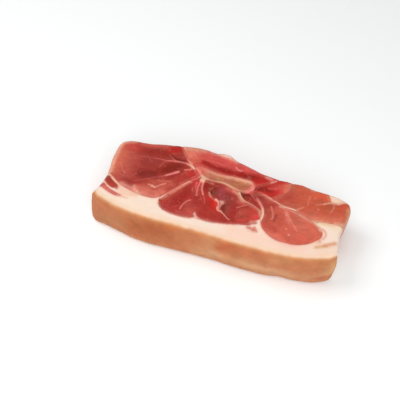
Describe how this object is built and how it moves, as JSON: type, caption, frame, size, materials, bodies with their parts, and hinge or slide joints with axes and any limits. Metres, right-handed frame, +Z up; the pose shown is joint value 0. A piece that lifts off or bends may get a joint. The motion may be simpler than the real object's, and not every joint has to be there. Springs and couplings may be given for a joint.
{
  "type": "ham slice",
  "caption": "Thick bone-in slice of raw ham lying flat: red muscles parted by pale seams, a cut blade bone, and a white layer of fat under tan rind.",
  "frame": {"origin": "on the ground, below the middle of the slice's bounding box", "axes": "+X along the rind towards the end with the broad fat, +Y from the rind to the back edge, +Z up through the thickness"},
  "size_m": [0.2253, 0.0996, 0.037],
  "materials": {
    "fat": "soft, slightly waxy, tan rind on the front",
    "bone": "sawn, dull",
    "lean_dark": "moist",
    "lean_bright": "moist",
    "lean_pale": "moist"
  },
  "bodies": {
    "root": {"fat": "fat", "fat_back_corner": "fat", "blade_bone": "bone", "lean_left": "lean_dark", "lean_centre": "lean_dark", "lean_sliver": "lean_dark", "streak_upper": "lean_dark", "lean_back": "lean_bright", "lean_wedge": "lean_bright", "lean_front": "lean_pale", "lean_right": "lean_pale", "streak_lower": "lean_pale"}
  },
  "joints": []
}
